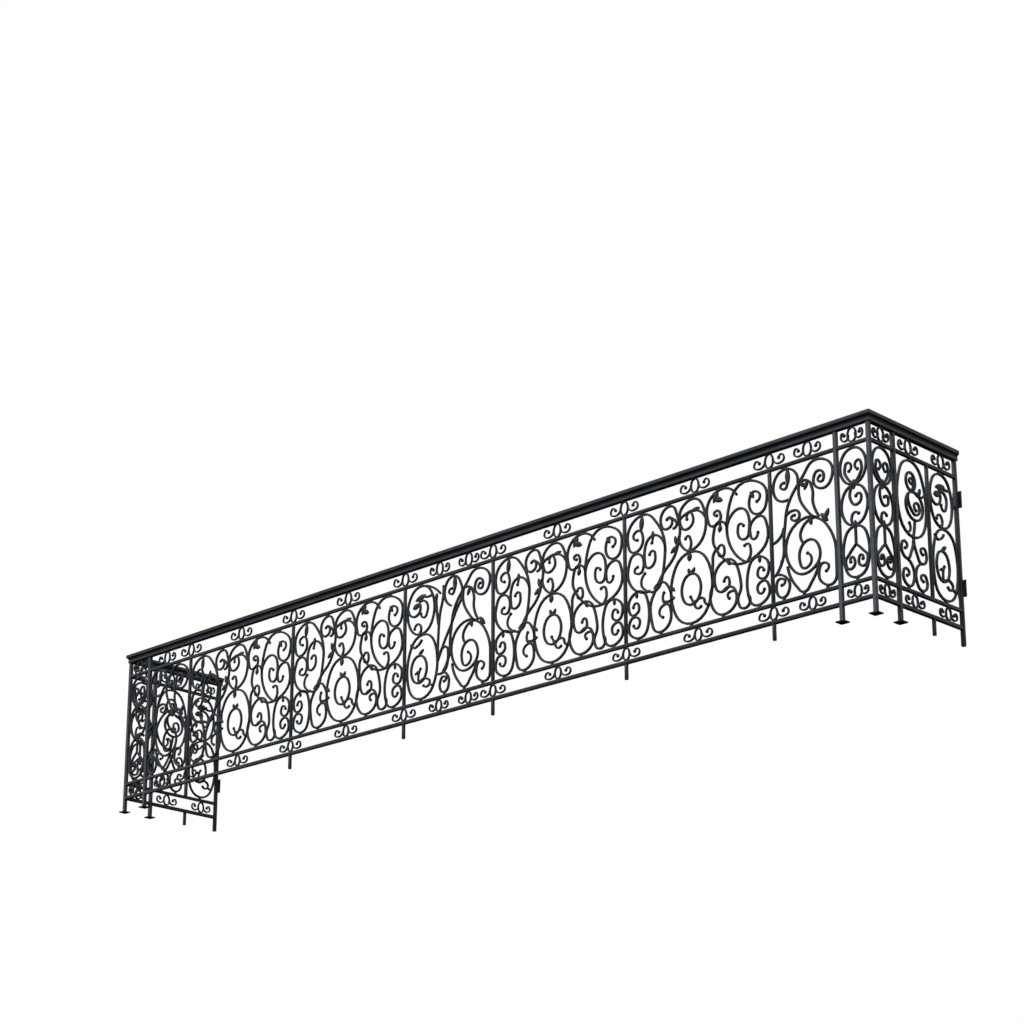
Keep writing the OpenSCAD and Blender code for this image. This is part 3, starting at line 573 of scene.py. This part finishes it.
# A block with eased edges, sized along X, Y and Z.
def addBlock(bm, matrix, size, ease):
    made = bmesh.ops.create_cube(bm, size=1)["verts"]
    bmesh.ops.scale(bm, vec=size, verts=made)
    edges = list({e for v in made for e in v.link_edges})
    grown = bmesh.ops.bevel(bm, geom=edges, offset=ease, offset_type="OFFSET", segments=2, profile=0.5,
                            affect="EDGES", material=-1)
    verts = {v for f in grown["faces"] for v in f.verts}
    bmesh.ops.transform(bm, matrix=matrix, verts=list(verts))


# A lug ties a scroll to the frame, with a band round it.
def addLug(bm, place, q, reach, side):
    turn = place @ Matrix.Translation((q[0], 0, q[1])) @ Matrix.Rotation(-math.radians(side), 4, "Y")
    middle = Matrix.Translation((reach / 2, 0, 0))
    addBlock(bm, turn @ middle, (reach, lug["depth"], lug["width"]), lug["ease"])
    if reach > lug["bandFrom"]:
        beside = Matrix.Translation((reach / 2 + lug["bandAside"], 0, 0))
        addBlock(bm, turn @ beside, (lug["bandLength"], lug["bandDepth"], lug["bandWidth"]), lug["bandEase"])


def flipped(strokes, width):
    return [[s[0], s[1], [[width - q[0], q[1]] for q in s[2]]] for s in strokes]


def shifted(strokes, dx):
    return [[s[0], s[1], [[q[0] + dx, q[1]] for q in s[2]]] for s in strokes]


def shiftedMarks(marks, dx):
    return [[q[0] + dx] + q[1:] for q in marks]


# The patterns lie on a grid: 100 units from the lower to the upper rail centre, 0 at the left bar.
# Lower oval that leans on a bar, with two curls inside.
sideOval = [
    [1, 1, [[7.6, 27.6], [9.8, 30.3], [13.2, 26], [8.5, 21.4], [2.9, 29.5], [11, 38.6], [22.8, 21], [12, 3],
        [2.9, 12.5], [8.5, 19.9], [13.7, 15], [10.1, 10.9], [7.6, 13.4]]]
]
wideWidth = 136.8
wideStrokes = sideOval + flipped(sideOval, wideWidth) + [
        [1, 1, [[12.4, 78.8], [8.6, 82], [13, 86], [18, 78.5], [10, 69.7], [2.9, 82.5], [18, 97.2],
            [34, 84], [39, 64], [22, 36.6], [15.6, 45], [19.2, 51.2]]],
        [1, 0, [[12.2, 57.8], [9.4, 55.8], [13.5, 52.3], [18.4, 59.5], [11, 68.4], [2.9, 57], [11, 39.5],
            [24, 36.8]]],
        [1, 0, [[24, 64.8], [26.8, 67], [29.6, 61.5], [23.7, 54.5], [19, 65], [28, 78.7], [37.5, 72],
            [39, 63]]],
        [0, 1, [[28, 78.5], [26.5, 73.2]]],
        [1, 1, [[41.3, 87.6], [44, 88.8], [46.3, 84.5], [40, 80.3], [35.3, 87.5], [43.5, 97.2], [52.5, 84],
            [50, 62], [33, 42], [24, 21], [34, 3.2], [43.7, 13.5], [38, 23.2], [32.7, 17], [35.8, 13.8]]],
        [0, 0, [[28, 37], [35, 40.8], [43, 33], [42.8, 20]]],
        [0, 0, [[43.6, 88], [48.8, 85.4], [50.4, 81], [47, 79.2]]],
        [1, 0, [[37.2, 32.2], [36, 28.6], [37.8, 24]]],
        [0, 0, [[37, 25.8], [41.6, 24.6], [47, 26.8]]],
        [1, 0, [[60.3, 83], [61.4, 87.3], [66.3, 82], [60.5, 75.3], [53.2, 86], [64, 97.3], [78, 79],
            [69, 60], [60, 58.2]]],
        [0, 0, [[53.5, 84.5], [59, 87.2], [67, 88.3], [77.4, 80.5]]],
        [1, 0, [[58.6, 68.3], [61, 70], [63.4, 66.5], [62, 59]]],
        [0, 0, [[52.5, 72], [55, 63.5], [61, 58.4]]],
        [1, 0, [[62.2, 23.2], [65, 17.8]]],
        [0, 1, [[67, 19.5], [66.6, 14.6], [69, 13], [71.6, 13.9]]],
        [0, 0, [[69.5, 20], [74, 19.5], [75.8, 15.5], [79, 13]]],
        [1, 0, [[88.2, 78.6], [85.7, 80.3], [88.5, 82.3], [91.7, 78.5], [85.5, 71.3], [79, 82], [90, 97.3],
            [107, 89.5]]],
        [0, 1, [[97, 65.5], [90.7, 73.3], [84.3, 63], [90, 48.5], [112, 37], [134, 56], [126, 68.6],
            [117.9, 60], [122.5, 52.7], [125, 56.6]]],
        [0, 1, [[89, 49.3], [92.5, 46.8], [94.4, 51], [91.2, 55.5], [88.6, 53.6]]],
        [0, 0, [[86.6, 53], [84.3, 50], [83.4, 42], [82.6, 32]]],
        [0, 1, [[91, 73.2], [90.8, 67.6]]],
        [1, 0, [[93.4, 27.8], [95.4, 30.3], [98.3, 26], [92, 20.3], [84.6, 32], [94, 43], [108.6, 22],
            [105.9, 8.3], [108.5, 4.2], [114.4, 13]]],
        [0, 0, [[83.3, 27], [80.7, 15], [92, 3.2], [104.4, 14.5], [98.5, 22.6], [92.5, 20.6]]],
        [1, 0, [[97.6, 14], [96.4, 17], [99.5, 18.8], [104, 17]]],
        [1, 0, [[124.9, 79.9], [127.6, 82.5], [123, 88], [117.8, 80.5], [126.3, 70.2], [134, 83],
            [119, 97.3], [97, 66], [113, 37.6]]],
        [1, 0, [[112.2, 65], [109.6, 67], [106.9, 61.5], [112.8, 54.5], [117.6, 64], [109, 78.7],
            [99, 72.5], [97.3, 63]]],
        [1, 0, [[112.8, 49.8], [115.3, 50.6], [118.2, 45], [115, 37.8]]]
    ]
wideRings = [
    [[63, 57.3], [43.9, 31], [62.5, 3.2], [82.6, 31]],
    [[63, 40.6], [54, 29], [62.5, 17.3], [72, 29]]
]
wideLeaves = [
    [16.8, 90.6, 13, 4.6, 84], [49.6, 69, 9, 3.6, 104], [47.8, 63, 9, 3.8, 34], [68.5, 88.6, 9, 3.6, 6],
    [87.6, 93, 10, 4.6, 62], [89.6, 90.6, 10, 4.6, -24], [45.8, 33, 6, 2.8, -50],
    [62, 53.6, 7, 4.6, 84], [61.4, 42.6, 6, 3.2, 110], [65.2, 42.4, 6, 3.2, 60], [120.6, 86, 7, 3.4, 120],
    [11, 36, 5, 3, 90], [125.8, 36, 5, 3, 90], [27.4, 79.4, 6, 3.2, 80], [90.8, 68, 6, 4, 74],
    [98, 40.6, 6, 3.4, -50]
]
wideLugs = [
    [18, 97.2, 90], [43.5, 97.2, 90], [64, 97.3, 90], [90, 97.3, 90], [119, 97.3, 90],
    [12, 3, 270], [34, 3.2, 270], [62.5, 3.2, 270], [92, 3.2, 270], [124.8, 3, 270],
    [2.9, 82.5, 180], [2.9, 57, 180], [2.9, 29.5, 180], [2.9, 12.5, 180],
    [134, 83, 0], [134, 56, 0], [133.9, 29.5, 0], [133.9, 12.5, 0]
]

outerWidth = 58.2
outerStrokes = [
    [0, 0, [[24.6, 84], [13.5, 97.2], [2.9, 84.5], [8.5, 74.6], [15.8, 74]]],
    [1, 0, [[12.6, 87.2], [9.6, 86], [12.4, 82.4], [16, 86.8], [15.3, 96.8]]],
    [1, 0, [[44, 84.3], [42, 82], [45, 79.8], [47.2, 84], [42.5, 88.5], [38.2, 83], [46, 74.6], [54.9, 85],
        [41.5, 97.2], [26.5, 85], [16, 71], [11.4, 50], [9, 30], [3, 20.6]]],
    [0, 1, [[26, 84.5], [25.2, 75], [33, 60], [48, 47.5], [55.3, 26], [47, 3.6], [40, 12.5], [45, 20.3],
        [48.6, 16.8], [46.4, 14]]],
    [0, 0, [[28, 84.5], [33.5, 83.5], [36.8, 77], [37.4, 65], [42, 55]]],
    [0, 1, [[41.5, 54], [30, 56.8], [12.8, 32], [30.5, 16.5], [41.8, 28.5], [32, 40], [23.8, 29.5],
        [29.5, 20.2], [34.2, 26.5], [31, 30.6]]],
    [0, 0, [[13.4, 25], [20, 9.5], [27, 3.4], [34.5, 10], [40.6, 22]]],
    [0, 0, [[38, 55], [28.5, 51.5], [25.3, 44], [28, 38.6]]],
    [1, 0, [[7.8, 12.6], [10.6, 14], [7, 17.6], [3, 11], [9.5, 3.4], [14.6, 9.5], [9, 19.6], [2.9, 21]]],
    [0, 0, [[2.9, 44.8], [8, 48], [11.2, 54]]],
    [0, 1, [[13.5, 62.5], [18, 64.6], [24.4, 62.6], [24.6, 58.2], [20, 57.2], [18, 60], [20.8, 61]]]
]
outerLeaves = [
    [15.6, 91.5, 11, 4, 88], [31.6, 80.6, 8, 3.6, 64], [34.6, 53, 6, 3.4, 100], [46.5, 53, 10, 4, -50],
    [48.4, 55, 9, 4, 62], [8.8, 30, 7, 3, 60], [28.4, 82, 7, 3.4, -50]
]
outerLugs = [
    [13.5, 97.2, 90], [41.5, 97.2, 90], [27, 3.4, 270], [47, 3.6, 270], [9.5, 3.4, 270],
    [2.9, 84.5, 180], [3, 11, 180], [2.9, 20.8, 180], [2.9, 44.8, 180],
    [54.9, 85, 0], [55.3, 26, 0]
]

# The two ovals, one on the other, at the left of the centre bay and by the wall.
pairStrokes = [
    [0, 0, [[4, 79.6], [7, 74.6], [12.4, 73], [17.4, 76.6], [17, 82.6]]],
    [0, 1, [[16.4, 84], [24.8, 82.4], [26.2, 75.6], [21.6, 70.2], [18.6, 74]]],
    [0, 0, [[20.4, 88.6], [26.6, 86.6], [31.6, 87.4]]],
    [0, 1, [[17, 57.4], [19, 62], [15, 66], [11.4, 62.6]]],
    [0, 0, [[7.4, 50.4], [11, 47], [15.8, 48.2], [20, 52.2]]],
    [0, 1, [[16.7, 17], [16.4, 22.6], [18.6, 28]]],
    [1, 0, [[22.4, 13.4], [26.2, 12], [29.4, 15.2], [25.4, 18.8], [18.4, 17.2]]],
    [0, 0, [[28.8, 13.2], [33.6, 11.6]]]
]
pairRings = [
    [[18.5, 97.2], [3.1, 78], [19.6, 56.7], [34, 77]],
    [[20.6, 56.1], [3.5, 32], [19, 3], [37.8, 29]],
    [[16.8, 39.2], [8, 28], [16.8, 16.6], [25.8, 28]]
]
pairLeaves = [
    [18, 87.4, 13, 4.8, 14], [13.2, 81.2, 9, 5.2, 16], [19.2, 41.6, 8, 3.4, 34], [15, 25.4, 7, 2.8, 22]
]
pairLugs = [[18.5, 97.2, 90], [19, 3, 270], [3.1, 78, 180], [3.5, 32, 180]]

centreWidth = 99.3
centreShift = centreWidth - outerWidth
centreStrokes = pairStrokes + shifted(outerStrokes[1:8], centreShift) + [
        [0, 0, [[24, 96.4], [33, 92.6], [40.8, 86]]],
        [0, 0, [[44.2, 92], [44, 84], [40.2, 68], [38.6, 50], [37.8, 32]]],
        [0, 0, [[36, 86], [36.4, 76], [38.8, 60]]],
        [0, 0, [[53, 73], [45.4, 84], [55, 97.2], [65.2, 85], [56, 63], [44, 42], [38, 30]]],
        [0, 0, [[41, 37], [46, 40.6], [49.8, 30.5], [44, 19.8], [37, 20]]],
        [1, 0, [[45.5, 12.4], [47.8, 14.4], [45, 16.4], [41, 12], [46, 3.4], [51, 11.5], [45, 20]]]
    ]
centreLeaves = pairLeaves + shiftedMarks(outerLeaves[0:4], centreShift) + [[36.2, 84, 7, 3.6, 80]]
centreLugs = [
    [18.5, 97.2, 90], [55, 97.2, 90], [41.5 + centreShift, 97.2, 90],
    [19, 3, 270], [46, 3.4, 270], [27 + centreShift, 3.4, 270], [47 + centreShift, 3.6, 270],
    [3.1, 78, 180], [3.5, 32, 180],
    [54.9 + centreShift, 85, 0], [55.3 + centreShift, 26, 0]
]

narrowWidth = 27.9
narrowMid = narrowWidth / 2
narrowHalf = [
    [1, 0, [[10.4, 80.8], [12.4, 84], [9.6, 87.2], [6.8, 82.5], [9.5, 75], [narrowMid, 71]]],
    [1, 0, [[8.8, 15.4], [9.6, 18.4], [12.4, 15], [8.6, 10.2], [4.7, 16], [8.8, 22], [narrowMid, 27]]]
]
narrowStrokes = narrowHalf + flipped(narrowHalf, narrowWidth) + [
        [1, 0, [[15.4, 61.6], [18.2, 63], [19.8, 59], [15.5, 55.2], [10.6, 60.5], [narrowMid, 70]]],
        [0, 1, [[12.4, 41.6], [11, 46], [13.8, 50], [17, 48.6]]],
        [0, 0, [[narrowMid, 40.6], [narrowMid, 26]]]
    ]
narrowRings = [
    [[narrowMid, 97.2], [3, 84], [narrowMid, 70.6], [narrowWidth - 3, 84]],
    [[narrowMid, 70], [2.9, 55.5], [narrowMid, 40.8], [narrowWidth - 2.9, 55.5]],
    [[narrowMid, 40.2], [3, 22], [narrowMid, 3.4], [narrowWidth - 3, 22]]
]
narrowLeaves = [[narrowMid, 70.4, 8, 3.6, 90], [narrowMid, 40.6, 8, 3.6, 90]]
narrowLugs = [
    [narrowMid, 97.2, 90], [narrowMid, 3.4, 270],
    [3, 84, 180], [2.9, 55.5, 180], [3, 22, 180],
    [narrowWidth - 3, 84, 0], [narrowWidth - 2.9, 55.5, 0], [narrowWidth - 3, 22, 0]
]

middleWidth = 39.5
middleMid = middleWidth / 2
middleHalf = [
    [1, 0, [[9.4, 30.4], [11.8, 32.6], [8.6, 35.4], [5, 30.5], [10.4, 23.2], [17.4, 31],
        [middleMid, 40.4]]],
    [1, 0, [[10.2, 10.6], [12.8, 12.8], [9.4, 15.6], [5.6, 10.6], [11.6, 3.4], [18.8, 12], [10.4, 23.4]]]
]
middleStrokes = middleHalf + flipped(middleHalf, middleWidth) + [
        [1, 0, [[20.6, 80.4], [18, 81.8], [20.2, 84.6], [22.8, 80.6], [19.4, 75.4]]],
        [1, 0, [[24.6, 61.4], [22.4, 64.2], [25.6, 67.4], [28.8, 63], [24.4, 58], [18, 61.8], [15.6, 71]]],
        [0, 0, [[24.6, 74.2], [30.6, 72.6], [36, 76.4]]],
        [0, 1, [[12.4, 43], [16.4, 45.2], [15.8, 50.2]]],
        [0, 0, [[middleMid, 40.8], [21.4, 47], [22.4, 54]]]
    ]
middleRings = [
    [[middleMid, 97.2], [2.9, 73], [middleMid, 40.6], [middleWidth - 2.9, 73]],
    [[19.4, 88.4], [14, 81.6], [19.4, 75], [24.8, 81.6]],
    [[22.4, 74.6], [12.6, 64], [22.4, 53.8], [32.8, 64]]
]
middleLeaves = [[middleMid, 37, 7, 3.6, 90], [29.6, 76.2, 7, 3.4, 74]]
middleLugs = [
    [middleMid, 97.2, 90], [11.6, 3.4, 270], [middleWidth - 11.6, 3.4, 270],
    [2.9, 73, 180], [middleWidth - 2.9, 73, 0]
]

pairWidth = 40.3

widePanel = {"grid": wideWidth, "strokes": wideStrokes, "rings": wideRings, "leaves": wideLeaves,
             "lugs": wideLugs}
outerPanel = {"grid": outerWidth, "strokes": outerStrokes, "rings": [], "leaves": outerLeaves,
              "lugs": outerLugs}
centrePanel = {"grid": centreWidth, "strokes": centreStrokes, "rings": pairRings, "leaves": centreLeaves,
               "lugs": centreLugs}
narrowPanel = {"grid": narrowWidth, "strokes": narrowStrokes, "rings": narrowRings, "leaves": narrowLeaves,
               "lugs": narrowLugs}
middlePanel = {"grid": middleWidth, "strokes": middleStrokes, "rings": middleRings, "leaves": middleLeaves,
               "lugs": middleLugs}
wallPanel = {"grid": pairWidth, "strokes": pairStrokes, "rings": pairRings, "leaves": pairLeaves,
             "lugs": pairLugs + [[37.8, 29, 0], [34, 77, 0]]}


def addPanel(name, source, place, width, pattern, leftFace, rightFace):
    across = width / pattern["grid"]
    up = (layout["upperRailZ"] - layout["lowerRailZ"]) / 100

    def at(q):
        return (q[0] * across, layout["lowerRailZ"] + q[1] * up)

    bm = bmesh.new()
    bars = newBars(panelSection)
    for startEye, endEye, points in pattern["strokes"]:
        p = [at(q) for q in points]
        addStroke(bars, p, False, bool(startEye), bool(endEye))
        for wanted, q in ((startEye, p[0]), (endEye, p[-1])):
            if wanted:
                addEye(bm, place, q, scroll["eyeRadius"])
    for ring in pattern["rings"]:
        addStroke(bars, [at(q) for q in ring], True)
    barsToMesh(bars, bm, place)
    for x, y, length, wide, angle in pattern["leaves"]:
        addLeaf(bm, place, at((x, y)), length * up, wide * up, angle)
    for x, y, side in pattern["lugs"]:
        q = at((x, y))
        reaches = {90: upperOpen - q[1], 270: q[1] - lowerOpen,
                   180: q[0] - leftFace, 0: width - rightFace - q[0]}
        addLug(bm, place, q, reaches[side], side)
    bm.transform(Matrix.Scale(0.001, 4))
    piece = addPiece(name, bm, scrollPaint, "scrollwork", source)
    print(name, len(piece.data.polygons), "faces")


panels = [
    ("narrowScrollLeft", "narrow_scroll_left", onFront(), layout["narrowBay"], narrowPanel, postFace, postFace),
    ("narrowScrollRight", "narrow_scroll_right", onFront(frontRun - layout["narrowBay"]),
     layout["narrowBay"], narrowPanel, postFace, postFace),
    ("outerScrollLeft", "outer_scroll_left", onFront(layout["narrowBay"]), layout["outerBay"], outerPanel,
     postFace, barFace),
    ("outerScrollRight", "outer_scroll_right", onFront(frontBars[5]), layout["outerBay"], outerPanel,
     barFace, postFace),
    ("wideScroll1", "wide_scroll_1", onFront(frontBars[0]), wideBay, widePanel, barFace, barFace),
    ("wideScroll2", "wide_scroll_2", onFront(frontBars[1]), wideBay, widePanel, barFace, barFace),
    ("wideScroll3", "wide_scroll_3", onFront(frontBars[3]), wideBay, widePanel, barFace, barFace),
    ("wideScroll4", "wide_scroll_4", onFront(frontBars[4]), wideBay, widePanel, barFace, barFace),
    ("centreScroll", "centre_scroll", onFront(frontBars[2]), layout["centreBay"], centrePanel,
     barFace, barFace),
]
for side, end in ((-1, "Left"), (1, "Right")):
    low = end.lower()
    panels += [
        ("returnNarrowScroll" + end, "return_narrow_scroll_" + low, onSide(side), layout["narrowBay"],
         narrowPanel, postFace, postFace),
        ("returnMiddleScroll" + end, "return_middle_scroll_" + low, onSide(side, layout["narrowBay"]),
         layout["returnBay"], middlePanel, postFace, barFace),
        ("returnWallScroll" + end, "return_wall_scroll_" + low, onSide(side, returnBar), wallBay,
         wallPanel, barFace, postFace),
    ]
for panel in panels:
    addPanel(*panel)
print("scroll panels built")


# Friezes: a ring that touches the rails above and below, with a scroll on each side

frieze = {
    "upperZ": (layout["upperRailZ"] + layout["rail"] / 2 + handrailZ) / 2,
    "upperOpen": handrailZ - layout["upperRailZ"] - layout["rail"] / 2,
    "lowerZ": (layout["lowerRailZ"] - layout["rail"] / 2
               + layout["bottomRailZ"] + layout["bottomRail"] / 2) / 2,
    "lowerOpen": layout["lowerRailZ"] - layout["rail"] / 2
                 - layout["bottomRailZ"] - layout["bottomRail"] / 2,
    "ringShape": 0.68,
    "reach": 74,        # how far a curl reaches from its ring
    # Places of rings as shares of their bay, and reaches as shares of the full reach or of the bay
    "centreAt": (0.4, 0.73), "centreReach": 0.74, "outerAt": 0.42, "outerReach": 0.8,
    "narrowReach": 0.21, "returnAt": 0.46, "returnReach": 0.21, "wallAt": 0.52, "wallReach": 0.22,
    # A curl's points: share of the reach past the ring, share of the ring's half height
    "curl": ((0, 0.25), (0.42, -0.72), (0.95, 0), (0.7, 0.5), (0.5, 0.1)),
}
reach = frieze["reach"]
frontRings = [(x, reach) for x in frontBars]
frontRings += [(frontBars[i] + wideBay / 2, reach) for i in (0, 1, 3, 4)]
frontRings += [(frontBars[2] + layout["centreBay"] * k, reach * frieze["centreReach"])
               for k in frieze["centreAt"]]
narrowRing = (layout["narrowBay"] / 2, layout["narrowBay"] * frieze["narrowReach"])
frontRings += [narrowRing, (frontRun - narrowRing[0], narrowRing[1])]
outerRing = layout["narrowBay"] + layout["outerBay"] * frieze["outerAt"]
frontRings += [(x, reach * frieze["outerReach"]) for x in (outerRing, frontRun - outerRing)]
sideRings = [
    narrowRing,
    (layout["narrowBay"] + layout["returnBay"] * frieze["returnAt"],
     layout["returnBay"] * frieze["returnReach"]),
    (returnBar + wallBay * frieze["wallAt"], wallBay * frieze["wallReach"]),
]


def addFrieze(name, source, place, z, openHeight, rings):
    bm = bmesh.new()
    bars = newBars(friezeSection)
    h = (openHeight - scroll["friezeWidth"]) / 2
    w = h * frieze["ringShape"]
    lap = scroll["friezeWidth"] / 4
    for x, reach in rings:
        addStroke(bars, [(x, z + h), (x - w, z), (x, z - h), (x + w, z)], True)
        for i in (-1, 1):
            p = [(x + i * (w + reach * along), z + rise * h) for along, rise in frieze["curl"]]
            addStroke(bars, p, False, False, True)
            addEye(bm, place, p[-1], scroll["eyeRadius"])
        for side in (90, 270):
            rise = h - lap if side == 90 else lap - h
            addLug(bm, place, (x, z + rise), openHeight / 2 - h + lap, side)
    barsToMesh(bars, bm, place)
    bm.transform(Matrix.Scale(0.001, 4))
    addPiece(name, bm, scrollPaint, "scrollwork", source)


for level in ("upper", "lower"):
    z, openHeight = frieze[level + "Z"], frieze[level + "Open"]
    addFrieze(level + "FriezeFront", level + "_frieze_front", onFront(), z, openHeight, frontRings)
    addFrieze(level + "FriezeLeft", level + "_frieze_left", onSide(-1), z, openHeight, sideRings)
    addFrieze(level + "FriezeRight", level + "_frieze_right", onSide(1), z, openHeight, sideRings)
bpy.data.objects.remove(panelSection)
bpy.data.objects.remove(friezeSection)
print("friezes built")


# Welds where the full-height posts stand on their base plates

weld = {"leg": 4.5, "lap": 0.4, "height": 4.0, "ease": 0.5, "edgeAngle": 0.3}
weldPlaces = [onFront(x) for x in (0, layout["narrowBay"], frontRun - layout["narrowBay"], frontRun)]
weldPlaces += [onSide(side, layout["narrowBay"]) for side in (-1, 1)]
bm = bmesh.new()
for place in weldPlaces:
    lift = Matrix.Translation((0, 0, layout["plateThickness"] + weld["height"] / 2))
    bmesh.ops.create_cone(bm, cap_ends=True, segments=4, radius1=(postFace + weld["leg"]) * math.sqrt(2),
                          radius2=(postFace + weld["lap"]) * math.sqrt(2), depth=weld["height"],
                          matrix=place @ lift @ Matrix.Rotation(math.pi / 4, 4, "Z"))
edges = [e for e in bm.edges if e.calc_face_angle(0) > weld["edgeAngle"]]
bmesh.ops.bevel(bm, geom=edges, offset=weld["ease"], offset_type="OFFSET", segments=2, profile=0.5,
                affect="EDGES", material=-1)
bm.transform(Matrix.Scale(0.001, 4))
addPiece("postWelds", bm, barPaint, "bars")
print("welds built")
